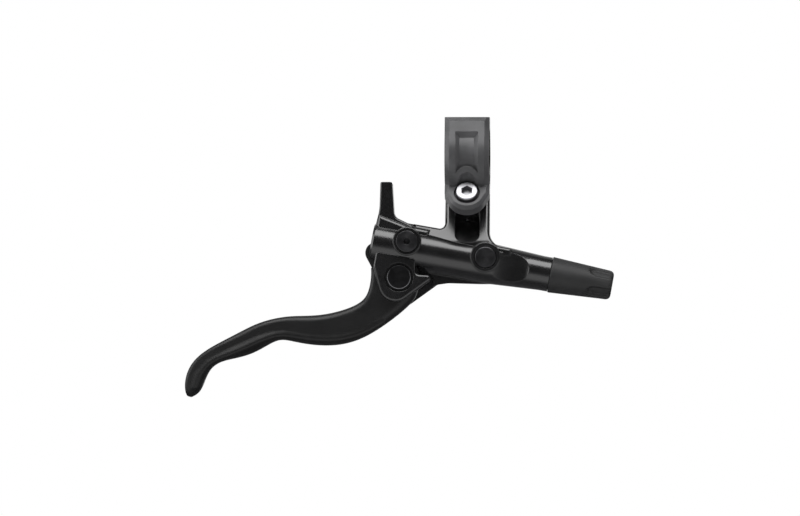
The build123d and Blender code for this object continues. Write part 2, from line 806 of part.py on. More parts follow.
with BuildPart() as lever:
    for back, finger, width in blade_stations:
        across = Vector(back[0] - finger[0], 0, back[1] - finger[1])
        middle = pivot + Vector(back[0] + finger[0], 0, back[1] + finger[1]) / 2
        rise = across.length / 2
        narrow = min(across.length, width)
        back_corner = back_round * narrow
        finger_corner = finger_round * narrow
        with BuildSketch(Plane(origin=middle, x_dir=(0, -1, 0), z_dir=(-across.Z, 0, across.X))):
            with BuildLine():
                FilletPolyline(
                    (-width / 2, rise),
                    (-width / 2, -rise),
                    (width / 2, -rise),
                    (width / 2, rise),
                    close=True,
                    radius=[back_corner, finger_corner, finger_corner, back_corner],
                )
            make_face()
    loft()
    # Tang round the pivot and the rod's cross pin, with a nose that fills the end of the slot
    with BuildSketch(pivot_plane.offset(-tang_width / 2)):
        Circle(tang_round)
        with Locations((trunnion.X, trunnion.Y)):
            Circle(trunnion_diameter / 2 + trunnion_wall)
        with Locations((-nose_reach, nose_rise)):
            Circle(nose_round)
        make_hull()
    extrude(amount=tang_width)
    with BuildSketch(pivot_plane.offset(-fork_gap / 2)):
        with Locations((trunnion.X, trunnion.Y - fork_floor + far / 2)):
            Rectangle(2 * far, far)
    extrude(amount=fork_gap, mode=Mode.SUBTRACT)
    with BuildSketch(pivot_plane.offset(-tang_width)):
        with Locations((trunnion.X, trunnion.Y)):
            Circle(trunnion_diameter / 2 + running_fit)
        Circle(pivot_diameter / 2 + bush_wall / 2)
    extrude(amount=2 * tang_width, mode=Mode.SUBTRACT)
    for side in (1, -1):
        with BuildSketch(pivot_plane.offset(side * (tang_width / 2 - bush_length))):
            Circle(pivot_diameter / 2 + bush_wall)
        extrude(amount=side * tang_width, mode=Mode.SUBTRACT)
lever.part.label = "lever_blade"
export_step(lever.part, "parts/lever_blade.step")


def pivot_bush(side):
    """Sleeve pressed into one side of the tang."""
    with BuildPart() as bush:
        with BuildSketch(pivot_plane.offset(side * tang_width / 2)):
            Circle(pivot_diameter / 2 + bush_wall)
            Circle(pivot_diameter / 2 + running_fit, mode=Mode.SUBTRACT)
        extrude(amount=-side * bush_length)
    return bush.part


for side, place in ((1, "front"), (-1, "rear")):
    bush = pivot_bush(side)
    bush.label = f"pivot_bush_{place}"
    export_step(bush, f"parts/pivot_bush_{place}.step")

# Pivot pin with its large head, and the ring that keeps it in
with BuildPart() as pivot_pin:
    with BuildSketch(pivot_plane.offset(ear_outer - pivot_head_sink - pivot_head_height)):
        Circle(pivot_head_diameter / 2)
    extrude(amount=pivot_head_height)
    fillet(faces().sort_by(Axis.Y)[0].edges(), pivot_head_edge)
    with BuildSketch(pivot_plane.offset(ear_outer - pivot_head_sink - pivot_head_height)):
        Circle(pivot_diameter / 2)
    extrude(amount=pivot_head_sink + pivot_head_height - 2 * ear_outer - pivot_end)
    with BuildSketch(pivot_plane.offset(-ear_outer - running_fit)):
        Circle(pivot_diameter)
        Circle(pivot_diameter / 2 - clip_depth, mode=Mode.SUBTRACT)
    extrude(amount=-clip_thickness - running_fit, mode=Mode.SUBTRACT)
pivot_pin.part.label = "pivot_pin"
export_step(pivot_pin.part, "parts/pivot_pin.step")

with BuildPart() as pivot_clip:
    with BuildSketch(pivot_plane.offset(-ear_outer - running_fit)):
        Circle(pivot_diameter / 2 + clip_width)
        Circle(pivot_diameter / 2 - clip_depth + running_fit, mode=Mode.SUBTRACT)
        with Locations((0, -pivot_diameter)):
            Rectangle(pivot_diameter - 2 * clip_depth, 2 * pivot_diameter, mode=Mode.SUBTRACT)
    extrude(amount=-clip_thickness)
pivot_clip.part.label = "pivot_clip"
export_step(pivot_clip.part, "parts/pivot_clip.step")

# Cross pin in the tang and the ball-ended push rod that runs through it
with BuildPart() as rod_barrel:
    with BuildSketch(trunnion_plane):
        Circle(trunnion_diameter / 2)
    extrude(amount=tang_width / 2 - side_clearance, both=True)
    with BuildSketch(rod_section):
        Circle(rod_diameter / 2 + thread_clearance)
    extrude(amount=trunnion_diameter, both=True, mode=Mode.SUBTRACT)
rod_barrel.part.label = "rod_barrel"
export_step(rod_barrel.part, "parts/rod_barrel.step")

with BuildPart() as push_rod:
    with BuildSketch(rod_section.offset(-rod_tail)):
        Circle(rod_diameter / 2)
    extrude(amount=rod_tail + rod_reach + cup_depth - ball_radius)
    with Locations(rod_section.offset(rod_reach + cup_depth - ball_radius - side_clearance / 2).origin):
        Sphere(ball_radius)
    with BuildSketch(rod_section.offset(-rod_tail)):
        RegularPolygon(rod_socket / 2, 6, major_radius=False)
    extrude(amount=rod_socket, mode=Mode.SUBTRACT)
push_rod.part.label = "push_rod"
export_step(push_rod.part, "parts/push_rod.step")

# Master piston, turned, with a groove for each seal
piston_radius = piston_diameter / 2
groove_radius = piston_radius - seal_depth
front_groove = piston_rear + piston_length - piston_land - seal_width
rear_groove = piston_rear + piston_land

with BuildPart() as piston:
    with BuildSketch(side_plane):
        with BuildLine():
            Polyline(
                (piston_rear, 0),
                (piston_rear, piston_radius),
                (rear_groove, piston_radius),
                (rear_groove, groove_radius),
                (rear_groove + seal_width, groove_radius),
                (rear_groove + seal_width, piston_radius),
                (rear_groove + seal_width + piston_land, piston_radius),
                (rear_groove + seal_width + piston_land, piston_waist / 2),
                (front_groove - piston_land, piston_waist / 2),
                (front_groove - piston_land, piston_radius),
                (front_groove, piston_radius),
                (front_groove, groove_radius),
                (front_groove + seal_width, groove_radius),
                (front_groove + seal_width, piston_radius),
                (piston_rear + piston_length, piston_radius),
                (piston_rear + piston_length, spigot_diameter / 2),
                (piston_rear + piston_length + spigot_length, spigot_diameter / 2),
                (piston_rear + piston_length + spigot_length, 0),
                close=True,
            )
        make_face()
    revolve(axis=barrel_axis)
    with BuildSketch(barrel_section(piston_rear)):
        Circle(ball_radius + side_clearance)
    extrude(amount=cup_depth, mode=Mode.SUBTRACT)
piston.part.label = "master_piston"
export_step(piston.part, "parts/master_piston.step")


def piston_seal(groove):
    """Ring in one groove of the piston, its lip nearly touching the bore."""
    with BuildPart() as seal:
        with BuildSketch(barrel_section(groove + seal_play)):
            Circle(piston_radius + running_fit / 2)
            Circle(groove_radius, mode=Mode.SUBTRACT)
        extrude(amount=seal_width - 2 * seal_play)
    return seal.part


for groove, place in ((front_groove, "primary"), (rear_groove, "secondary")):
    seal = piston_seal(groove)
    seal.label = f"{place}_seal"
    export_step(seal, f"parts/{place}_seal.step")

# Return spring between the piston and the end of the bore
spring_start = piston_rear + piston_length + spring_wire / 2 + seal_play
spring_end = bore_end - spring_wire / 2 - seal_play
spring_radius = piston_radius - spring_wire / 2 - seal_play

with BuildPart() as spring:
    with BuildLine() as coil:
        Helix(
            (spring_end - spring_start) / spring_turns,
            spring_end - spring_start,
            spring_radius,
            center=barrel_section(spring_start).origin,
            direction=barrel_direction,
        )
    with BuildSketch(Plane(origin=coil.line @ 0, z_dir=coil.line % 0)):
        Circle(spring_wire / 2)
    sweep(is_frenet=True)
spring.part.label = "piston_spring"
export_step(spring.part, "parts/piston_spring.step")

# Ring that stops the piston at rest
with BuildPart() as stop_ring:
    with BuildSketch(barrel_section(stop_ring_start + seal_play)):
        Circle(piston_radius + stop_ring_depth)
        Circle(piston_radius - stop_ring_depth, mode=Mode.SUBTRACT)
        with Locations((0, piston_radius)):
            Rectangle(piston_radius, piston_radius, mode=Mode.SUBTRACT)
    extrude(amount=stop_ring_width - 2 * seal_play)
stop_ring.part.label = "piston_stop_ring"
export_step(stop_ring.part, "parts/piston_stop_ring.step")

# Reservoir bladder, its rim held under the lid
dish_length = cavity_right - cavity_left - 2 * side_clearance
dish_height = cavity_high - cavity_low - 2 * side_clearance

with BuildPart() as diaphragm:
    with BuildSketch(side_plane.offset(-block_rear)):
        with Locations(cavity_centre):
            RectangleRounded(
                cavity_right - cavity_left + 2 * rim_width - side_clearance,
                cavity_high - cavity_low + 2 * rim_width - side_clearance,
                cavity_corner + rim_width,
            )
    extrude(amount=rim_depth)
    with BuildSketch(side_plane.offset(-block_rear)):
        with Locations(cavity_centre):
            RectangleRounded(dish_length, dish_height, cavity_corner)
    extrude(amount=dish_depth)
    with BuildSketch(side_plane.offset(-block_rear)):
        with Locations(cavity_centre):
            RectangleRounded(
                dish_length - 2 * rim_depth, dish_height - 2 * rim_depth, cavity_corner - rim_depth
            )
    extrude(amount=dish_depth - rim_depth, mode=Mode.SUBTRACT)
diaphragm.part.label = "reservoir_diaphragm"
export_step(diaphragm.part, "parts/reservoir_diaphragm.step")

# Reservoir lid and its two countersunk screws
with BuildPart() as lid:
    with BuildSketch(lid_face):
        with Locations(((lid_left + lid_right) / 2, cavity_centre[1])):
            RectangleRounded(
                lid_right - lid_left, cavity_high - cavity_low + 2 * rim_width + lid_margin, lid_corner
            )
    extrude(amount=lid_thickness)
    fillet(faces().sort_by(Axis.Y)[-1].edges(), lid_edge)
    with BuildSketch(lid_face):
        with Locations(*lid_screw_places):
            Circle(screw_head_diameter / 2 + thread_clearance)
    extrude(amount=screw_head_height, taper=45, mode=Mode.SUBTRACT)
    with BuildSketch(lid_face):
        with Locations(*lid_screw_places):
            Circle(lid_screw_diameter / 2 + thread_clearance)
    extrude(amount=lid_thickness, mode=Mode.SUBTRACT)
lid.part.label = "reservoir_lid"
export_step(lid.part, "parts/reservoir_lid.step")

with BuildPart() as lid_screws:
    with BuildSketch(lid_face):
        with Locations(*lid_screw_places):
            Circle(screw_head_diameter / 2)
    extrude(amount=screw_head_height, taper=45)
    with BuildSketch(lid_face):
        with Locations(*lid_screw_places):
            Circle(lid_screw_diameter / 2)
    extrude(amount=lid_thickness + lid_screw_depth - side_clearance)
    with BuildSketch(lid_face):
        with Locations(*lid_screw_places):
            RegularPolygon(screw_socket / 2, 6, major_radius=False)
    extrude(amount=screw_head_height, mode=Mode.SUBTRACT)
lid_screws.part.label = "lid_screws"
export_step(lid_screws.part, "parts/lid_screws.step")

# Bleed screw and the sealing ring under its head
ring_inner = bleed_thread_diameter / 2 + ring_margin
ring_outer = bleed_head_diameter / 2 - ring_margin

with BuildPart() as bleed_screw:
    with BuildSketch(bleed_plane.offset(boss_face)):
        Circle(bleed_head_diameter / 2)
    extrude(amount=bleed_head_height)
    fillet(faces().sort_by(Axis.Y)[0].edges(), head_edge)
    with BuildSketch(bleed_plane.offset(boss_face)):
        Circle(bleed_thread_diameter / 2)
    extrude(amount=-bleed_thread_depth + side_clearance)
    with BuildSketch(bleed_plane.offset(boss_face)):
        Circle(ring_outer)
        Circle(ring_inner, mode=Mode.SUBTRACT)
    extrude(amount=ring_height, mode=Mode.SUBTRACT)
    with BuildSketch(bleed_plane.offset(boss_face + bleed_head_height)):
        RegularPolygon(bleed_socket / 2, 6, major_radius=False)
    extrude(amount=-bleed_socket_depth, mode=Mode.SUBTRACT)
bleed_screw.part.label = "bleed_screw"
export_step(bleed_screw.part, "parts/bleed_screw.step")

with BuildPart() as bleed_ring:
    with BuildSketch(bleed_plane.offset(boss_face)):
        Circle(ring_outer - running_fit)
        Circle(ring_inner + running_fit, mode=Mode.SUBTRACT)
    extrude(amount=ring_height)
bleed_ring.part.label = "bleed_screw_ring"
export_step(bleed_ring.part, "parts/bleed_screw_ring.step")

# Domed plug of the cross-drilled port
with BuildPart() as port_plug:
    with BuildSketch(plug_plane.offset(plug_boss_face - plug_seat_depth)):
        Circle(plug_diameter / 2)
    extrude(amount=plug_height)
    fillet(faces().sort_by(Axis.Y)[0].edges(), head_edge)
    with BuildSketch(plug_plane.offset(plug_boss_face - plug_seat_depth)):
        Circle(plug_stem_diameter / 2)
    extrude(amount=-plug_stem_length)
port_plug.part.label = "port_plug"
export_step(port_plug.part, "parts/port_plug.step")

# Hose fitting: hollow hexagon bolt and the olive that it squeezes
with BuildPart() as hose_bolt:
    with BuildSketch(barrel_section(tube_end)):
        RegularPolygon(hose_bolt_hexagon / 2, 6, major_radius=False)
    extrude(amount=hose_bolt_head)
    with BuildSketch(barrel_section(tube_end)):
        Circle(fitting_diameter / 2)
    extrude(amount=-hose_bolt_thread)
    with BuildSketch(barrel_section(tube_end + hose_bolt_head)):
        Circle(hose_diameter / 2 + hose_clearance)
    extrude(amount=-hose_bolt_head - hose_bolt_thread, mode=Mode.SUBTRACT)
hose_bolt.part.label = "hose_connecting_bolt"
export_step(hose_bolt.part, "parts/hose_connecting_bolt.step")

with BuildPart() as olive:
    with BuildSketch(side_plane):
        with BuildLine():
            Polyline(
                (olive_end, hose_diameter / 2 + hose_clearance),
                (olive_end, fitting_diameter / 2 - 2 * olive_bulge),
                (olive_end - olive_length / 2, fitting_diameter / 2 - olive_bulge),
                (olive_end - olive_length, fitting_diameter / 2 - 2 * olive_bulge),
                (olive_end - olive_length, hose_diameter / 2 + hose_clearance),
                close=True,
            )
        make_face()
    revolve(axis=barrel_axis)
olive.part.label = "hose_olive"
export_step(olive.part, "parts/hose_olive.step")

# Rubber boot over the fitting, with flutes near its end
boot_start = tube_end + boot_gap
boot_end = boot_start + boot_length

with BuildPart() as boot:
    with BuildSketch(side_plane):
        with BuildLine():
            FilletPolyline(
                (boot_start, boot_mouth),
                (boot_start, boot_radius),
                (boot_end, boot_end_radius),
                (boot_end, hose_diameter / 2 + hose_clearance),
                (boot_start + boot_pocket + boot_mouth / 2, hose_diameter / 2 + hose_clearance),
                (boot_start + boot_pocket, boot_mouth),
                close=True,
                radius=[boot_edge, boot_edge, boot_end_edge, boot_edge, boot_edge, boot_edge],
            )
        make_face()
    revolve(axis=barrel_axis)
    with BuildSketch(barrel_section(boot_end)):
        flute_centre = boot_end_radius + flute_radius - flute_depth
        with PolarLocations(flute_centre, flute_count, start_angle=180 / flute_count):
            Circle(flute_radius)
    extrude(amount=-flute_length, taper=flute_taper, mode=Mode.SUBTRACT)
boot.part.label = "hose_cover"
export_step(boot.part, "parts/hose_cover.step")
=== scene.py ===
# %% [markdown]
# A bicycle brake lever, dressed for a product picture.
#
# The lever's solids were made in a CAD program, at their real size. This lesson loads them as a fixed
# frame, gives every piece the finish of the real one, models the soft rubber boot as a mesh, and sets up
# the studio. All lengths are in metres. X runs along the handlebar, Z is up, and the camera looks along +Y.

# %% Load the frame
import json
from math import cos, hypot, pi, radians, sin

import bmesh
import bpy
from mathutils import Matrix, Vector


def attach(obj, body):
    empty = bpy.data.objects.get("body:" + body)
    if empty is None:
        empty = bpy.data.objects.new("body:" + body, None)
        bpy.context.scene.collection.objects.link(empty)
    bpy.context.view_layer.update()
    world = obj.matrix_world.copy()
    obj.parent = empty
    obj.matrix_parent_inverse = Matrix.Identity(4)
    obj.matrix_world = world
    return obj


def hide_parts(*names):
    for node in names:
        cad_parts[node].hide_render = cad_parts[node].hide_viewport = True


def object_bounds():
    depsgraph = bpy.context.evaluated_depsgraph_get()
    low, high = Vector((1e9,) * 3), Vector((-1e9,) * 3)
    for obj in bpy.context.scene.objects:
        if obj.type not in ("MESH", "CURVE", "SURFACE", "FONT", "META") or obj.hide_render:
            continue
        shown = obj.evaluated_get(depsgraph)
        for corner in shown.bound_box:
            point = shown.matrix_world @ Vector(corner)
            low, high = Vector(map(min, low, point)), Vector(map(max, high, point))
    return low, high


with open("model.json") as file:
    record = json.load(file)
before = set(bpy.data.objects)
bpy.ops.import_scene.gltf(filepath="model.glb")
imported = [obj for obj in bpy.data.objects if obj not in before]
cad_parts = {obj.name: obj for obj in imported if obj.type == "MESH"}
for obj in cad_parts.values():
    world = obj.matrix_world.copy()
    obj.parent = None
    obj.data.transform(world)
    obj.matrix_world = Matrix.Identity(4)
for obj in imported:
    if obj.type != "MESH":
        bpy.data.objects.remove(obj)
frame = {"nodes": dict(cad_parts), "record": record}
cad_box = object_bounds()
nodes = frame["nodes"]
mm = 0.001

# %% [markdown]
# Shader maths as Python.
#
# A finish is a graph of nodes, and long graphs are hard to read when each link is a line of code. A small
# class that wraps a socket lets plain operators add the Math nodes, so a recipe reads as a formula. Its
# reflected forms let a number stand on the left. Every other node comes from one method of the graph.

# %% A socket with operators
class Value:
    """One output of a graph, on which Python's operators add Math nodes."""

    def __init__(self, graph, socket):
        self.graph = graph
        self.socket = socket

    def math(self, operation, first, second=0.0):
        return self.graph.node("Math", {"operation": operation}, {0: first, 1: second})

    def __add__(self, other):
        return self.math("ADD", self, other)

    __radd__ = __add__

    def __sub__(self, other):
        return self.math("SUBTRACT", self, other)

    def __rsub__(self, other):
        return self.math("SUBTRACT", other, self)

    def __mul__(self, other):
        return self.math("MULTIPLY", self, other)

    __rmul__ = __mul__

    def sine(self):
        return self.math("SINE", self)

    def smooth(self, low, high):
        """0 below low and 1 above high, with a soft step between them."""
        ends = {"From Min": low, "From Max": high, "Value": self}
        return self.graph.node("MapRange", {"interpolation_type": "SMOOTHSTEP"}, ends)


class Graph:
    """A node tree to which one method adds every kind of node."""

    def __init__(self, tree):
        self.tree = tree

    def node(self, kind, settings, inputs, output=0):
        made = self.tree.nodes.new("ShaderNode" + kind)
        for name, setting in settings.items():
            setattr(made, name, setting)
        self.feed(made, inputs)
        return Value(self, made.outputs[output])

    def feed(self, made, inputs):
        for key, value in inputs.items():
            if isinstance(value, Value):
                self.tree.links.new(value.socket, made.inputs[key])
            else:
                made.inputs[key].default_value = value

    def vector(self, operation, first, second=(0.0, 0.0, 0.0), output=0):
        return self.node("VectorMath", {"operation": operation}, {0: first, 1: second}, output)

    def mix(self, share, first, second):
        return self.node("Mix", {"data_type": "RGBA"}, {0: share, 6: first, 7: second}, 2)


print("graph classes ready")

# %% [markdown]
# A base for all finishes.
#
# Each finish is a Principled shader that reads Object coordinates, so a pattern stays on its piece when
# the lever moves. Noise is needed everywhere: a slow one for clouds of tone and a fine one for the grain
# that breaks up a reflection. CAD edges are razor sharp, and real ones never are, so a Bevel node bends
# the shading normal round them, and a thin line of light then runs along each edge.

# %% The finish class
side_view = (1.0, 0.0, 1.0)  # keeps X and Z of a place and drops its depth
bevel_samples = 6


class Finish(Graph):
    """A material with a Principled shader, filled by a recipe."""

    def __init__(self, name):
        self.material = bpy.data.materials.new(name)
        self.material.use_nodes = True
        super().__init__(self.material.node_tree)
        self.shader = self.tree.nodes["Principled BSDF"]
        self.place = self.node("TexCoord", {}, {}, "Object")

    def noise(self, size, detail):
        """Noise whose blotches are about one size across, from 0 to 1."""
        return self.node("TexNoise", {}, {"Vector": self.place, "Scale": 1 / size, "Detail": detail})

    def along(self, origin, direction):
        """Distance from a point along a direction, in metres."""
        return self.vector("DOT_PRODUCT", self.vector("SUBTRACT", self.place, origin), direction, "Value")

    def soft_edges(self, radius):
        return self.node("Bevel", {"samples": bevel_samples}, {"Radius": radius})

    def bump(self, height, depth, normal=None):
        inputs = {"Height": height, "Distance": depth}
        if normal:
            inputs["Normal"] = normal
        return self.node("Bump", {}, inputs)

    def shade(self, **inputs):
        """Sets the shader's sockets, named with underscores for spaces."""
        self.feed(self.shader, {name.replace("_", " "): value for name, value in inputs.items()})


def wear(finish, *names):
    for name in names:
        nodes[name].data.materials.clear()
        nodes[name].data.materials.append(finish.material)
    print(finish.material.name, "on", ", ".join(names))


def grey(level):
    """A grey that is a touch cool, as black coats are."""
    return (level, level, 1.04 * level, 1.0)


def two_tones(level):
    """The dark and the light tone of a cloudy colour."""
    return grey(0.8 * level), grey(1.25 * level)


# %% [markdown]
# Black coats of the castings.
#
# The housing and the clamp band are cast aluminium under a semi-gloss black coat, and the blade has a satin
# one.
# The band's coat is lighter than the housing's: partly a rougher satin, partly painted light that stands in
# for the light its faces catch. Such a coat is slightly wavy, like the skin of an orange, and a little uneven
# in
# gloss. Two noises give that: the coarse one moves the roughness, the fine one is a shallow bump. The recipe
# can take a form, a function that bends the normal before the grain is laid on it.

# %% Coated castings
def black_coat(name, level, roughness, gloss, peel, depth, edge, form=None):
    coat = Finish(name)
    cloud = coat.noise(9 * mm, 3.0)
    grain = coat.noise(peel, 4.0)
    normal = coat.soft_edges(edge)
    if form:
        normal = form(coat, normal)
    coat.shade(
        Base_Color=coat.mix(cloud.smooth(0.3, 0.7), *two_tones(level)),
        Roughness=roughness + 0.10 * (cloud - 0.5) + 0.08 * (grain - 0.5),
        Normal=coat.bump(grain, depth, normal),
        Specular_IOR_Level=gloss,
    )
    return coat


housing_coat = black_coat(
    "housing_coat", level=0.0065, roughness=0.22, gloss=0.8, peel=0.30 * mm, depth=0.006 * mm, edge=0.25 * mm
)
# the band's lighter colour is partly painted light, standing in for the light its faces catch
lightened_band_coat = black_coat(
    "lightened_band_coat", level=0.060, roughness=0.42, gloss=0.4, peel=0.30 * mm, depth=0.006 * mm, edge=0.4 * mm
)
wear(housing_coat, "lever_housing")
wear(lightened_band_coat, "clamp_band")

# %% [markdown]
# The blade's finger rib.
#
# The sides of the blade swell towards the edge that the fingers pull, and a soft line of light runs along
# that swelling. It could be part of the mesh, but the CAD solids stay as they are and it is only about a
# millimetre high, so a bump stands in for it. Its height falls off with the distance from a line in the
# side view, which follows the finger edge down into the hook. The nearest point of each run of the line is
# found by a dot product that is clamped to the run's ends.

# %% Blade
rib_line = [  # millimetres along X and Z, from the hook to the pivot
    (-104.2, -88.4), (-102.8, -83.8), (-98.9, -79.8), (-92.1, -76.4), (-79.8, -70.8),
    (-74.5, -69.4), (-70.4, -69.1), (-65.8, -69.8), (-59.7, -70.7), (-53.7, -71.0),
    (-48.2, -70.6), (-42.0, -69.2), (-36.5, -67.0), (-32.1, -64.8),
]
rib_half_width = 3.0 * mm
rib_height = 0.9 * mm


def finger_rib(coat, normal):
    points = [Vector((x, 0, z)) * mm for x, z in rib_line]
    flat = coat.vector("MULTIPLY", coat.place, side_view)
    nearest = None
    for start, end in zip(points, points[1:]):
        run = end - start
        shifted = coat.vector("SUBTRACT", flat, start)
        along_run = coat.vector("DOT_PRODUCT", shifted, run / run.length_squared, "Value")
        share = coat.node("Clamp", {}, {"Value": along_run})
        foot = coat.node("VectorMath", {"operation": "SCALE"}, {0: run, "Scale": share})
        gap = coat.vector("DISTANCE", shifted, foot, "Value")
        nearest = nearest.math("MINIMUM", nearest, gap) if nearest else gap
    return coat.bump(1 - nearest.smooth(0.0, rib_half_width), rib_height, normal)


blade_coat = black_coat(
    "blade_coat", level=0.005, roughness=0.45, gloss=0.4, peel=0.22 * mm, depth=0.010 * mm, edge=0.5 * mm,
    form=finger_rib,
)
wear(blade_coat, "lever_blade")

# %% [markdown]
# Steel, bright and blackened.
#
# The clamp bolt is bright zinc-plated steel: fully metallic, with fine scratches from the tool that
# turned it. The other screws and pins are blackened steel, dark and only half glossy. A recipe can take a
# relief, a function that gives a height in place of the scratches, with its depth.

# %% Steel
scratch_depth = 0.003 * mm


def steel(name, dark, light, roughness, edge, relief=None):
    metal = Finish(name)
    cloud = metal.noise(3 * mm, 3.0)
    scratch = metal.noise(0.15 * mm, 5.0)
    height, depth = relief(metal) if relief else (scratch, scratch_depth)
    metal.tone = metal.mix(cloud.smooth(0.3, 0.7), grey(dark), grey(light))
    metal.shade(
        Base_Color=metal.tone,
        Metallic=1.0,
        Roughness=roughness + 0.14 * (scratch - 0.5) + 0.08 * (cloud - 0.5),
        Normal=metal.bump(height, depth, metal.soft_edges(edge)),
    )
    return metal


bright_steel = steel("bright_steel", dark=0.36, light=0.48, roughness=0.40, edge=0.3 * mm)
black_steel = steel("black_steel", dark=0.07, light=0.10, roughness=0.36, edge=0.25 * mm)
wear(bright_steel, "clamp_bolt", "push_rod", "piston_spring")
wear(
    black_steel,
    "clamp_hinge_pin", "pivot_clip", "piston_stop_ring", "lid_screws", "hose_connecting_bolt",
)

# %% [markdown]
# Turned faces of the bleed screw and the plug.
#
# A lathe leaves fine rings on a screw's face, and they spread a lamp's reflection into two soft fans, above
# and below the middle. Rings could be cut into the mesh, but they are far finer than a pixel, so a bump
# that follows the distance from the screw's axis stands in for them.

# %% Turned screws
ring_pitch = 0.30 * mm
ring_depth = 0.020 * mm


def centre_of(node_name):
    points = [vertex.co for vertex in nodes[node_name].data.vertices]
    low = Vector([min(point[i] for point in points) for i in range(3)])
    high = Vector([max(point[i] for point in points) for i in range(3)])
    return (low + high) / 2


def from_axis(finish, node_name):
    """Distance from the axis of a round piece that lies along Y."""
    shifted = finish.vector("SUBTRACT", finish.place, centre_of(node_name))
    return finish.vector("LENGTH", finish.vector("MULTIPLY", shifted, side_view), output="Value")


def turned_screw(node_name):
    def rings(metal):
        turns = from_axis(metal, node_name) * (2 * pi / ring_pitch)
        return 0.5 + 0.5 * turns.sine(), ring_depth

    face = steel(node_name + "_steel", dark=0.05, light=0.08, roughness=0.36, edge=0.25 * mm, relief=rings)
    wear(face, node_name)


turned_screw("bleed_screw")
turned_screw("port_plug")

# %% [markdown]
# The pivot pin's head.
#
# The head is dull and nearly black, and its rim shows as a thin pale ring at the sides and below, where the
# barrel doesn't shade it. A painted highlight, a lighter and smoother rim, gives that ring, and its fading
# towards the top is painted shade from the barrel. The distance from the axis finds the rim, and the height
# above the axis fades it out towards the top.

# %% Pivot pin
rim_inner = 4.1 * mm
rim_outer = 4.5 * mm
painted_shade_fade = 3.5 * mm
# colour of the painted highlight on the head's rim
painted_highlight_level = 0.30
head_roughness = 0.50
dull_steel = steel("dull_steel", dark=0.016, light=0.026, roughness=head_roughness, edge=0.25 * mm)
above_axis = dull_steel.along(centre_of("pivot_pin"), (0, 0, 1))
# painted highlight on the rim, faded out towards the top as painted shade from the barrel
painted_rim_highlight = from_axis(dull_steel, "pivot_pin").smooth(rim_inner, rim_outer) * (1 - above_axis.smooth(0.0, painted_shade_fade))
dull_steel.shade(
    Base_Color=dull_steel.mix(painted_rim_highlight, dull_steel.tone, grey(painted_highlight_level)),
    Roughness=head_roughness - 0.15 * painted_rim_highlight,
)
wear(dull_steel, "pivot_pin")

# %% [markdown]
# Brass, plastic and rubber inside the lever.
#
# These pieces only show when the lever is taken apart or looked into, but each still has its own stuff.
# Machined brass has a fine grain, moulded plastic a spark-eroded one, and rubber a dull bloom.

# %% Inner pieces
dark_brass = (0.52, 0.36, 0.13, 1.0)
light_brass = (0.68, 0.50, 0.22, 1.0)
moulded_gloss = 0.48


def brass(name):
    metal = Finish(name)
    cloud = metal.noise(2 * mm, 3.0)
    metal.shade(
        Base_Color=metal.mix(cloud.smooth(0.3, 0.7), dark_brass, light_brass),
        Metallic=1.0,
        Roughness=0.26 + 0.12 * cloud,
        Normal=metal.bump(metal.noise(0.2 * mm, 4.0), scratch_depth),
    )
    return metal


def moulded(name, level, roughness, grain_size, depth):
    stuff = Finish(name)
    cloud = stuff.noise(6 * mm, 3.0)
    grain = stuff.noise(grain_size, 3.0)
    stuff.shade(
        Base_Color=stuff.mix(cloud.smooth(0.25, 0.75), *two_tones(level)),
        Roughness=roughness + 0.10 * (cloud - 0.5) + 0.06 * (grain - 0.5),
        Normal=stuff.bump(grain, depth, stuff.soft_edges(0.3 * mm)),
        Specular_IOR_Level=moulded_gloss,
    )
    return stuff


piston_plastic = moulded("piston_plastic", level=0.07, roughness=0.45, grain_size=0.25 * mm, depth=0.01 * mm)
lid_plastic = moulded("lid_plastic", level=0.016, roughness=0.42, grain_size=0.30 * mm, depth=0.02 * mm)
seal_rubber = moulded("seal_rubber", level=0.014, roughness=0.62, grain_size=0.20 * mm, depth=0.01 * mm)
wear(brass("turned_brass"), "pivot_bush_front", "pivot_bush_rear", "rod_barrel", "hose_olive")
wear(piston_plastic, "master_piston")
wear(lid_plastic, "reservoir_lid")
wear(seal_rubber, "primary_seal", "secondary_seal", "reservoir_diaphragm", "bleed_screw_ring")

# %% [markdown]
# The rubber boot.
#
# A soft boot covers the hose fitting. It is a body of revolution with four finger flutes pressed into its
# far end. It could be a cylinder with cuts, but rubber has no sharp corners, so the half outline is spun
# round the hose's axis and the flutes are pushed in by moving its points, with a soft rim. A thin collar at
# its mouth closes the gap to the tube, so that no light shines through.

# %% Boot sizes
port = next(mount for mount in frame["record"]["mounts"] if mount["name"] == "hose_port")
hose_axis = Vector(port["axis"]).normalized()
port_place = Vector(port["pos_m"])
reach = [(vertex.co - port_place).dot(hose_axis) for vertex in nodes["hose_cover"].data.vertices]
boot_start = port_place + min(reach) * hose_axis
boot_length = max(reach) - min(reach)
hose_radius = port["dims"]["r_mm"] * mm
boot_radius = 6.93 * mm
boot_end_radius = 5.5 * mm
boot_mouth = 5.0 * mm
boot_pocket = 9.0 * mm
lip_round = 0.5 * mm
collar_reach = 0.08 * mm
end_round = 1.8 * mm
print("boot is", round(boot_length / mm, 1), "mm long")

# %% Boot outline
lip_steps = 4
end_steps = 6
outline_rings = 80


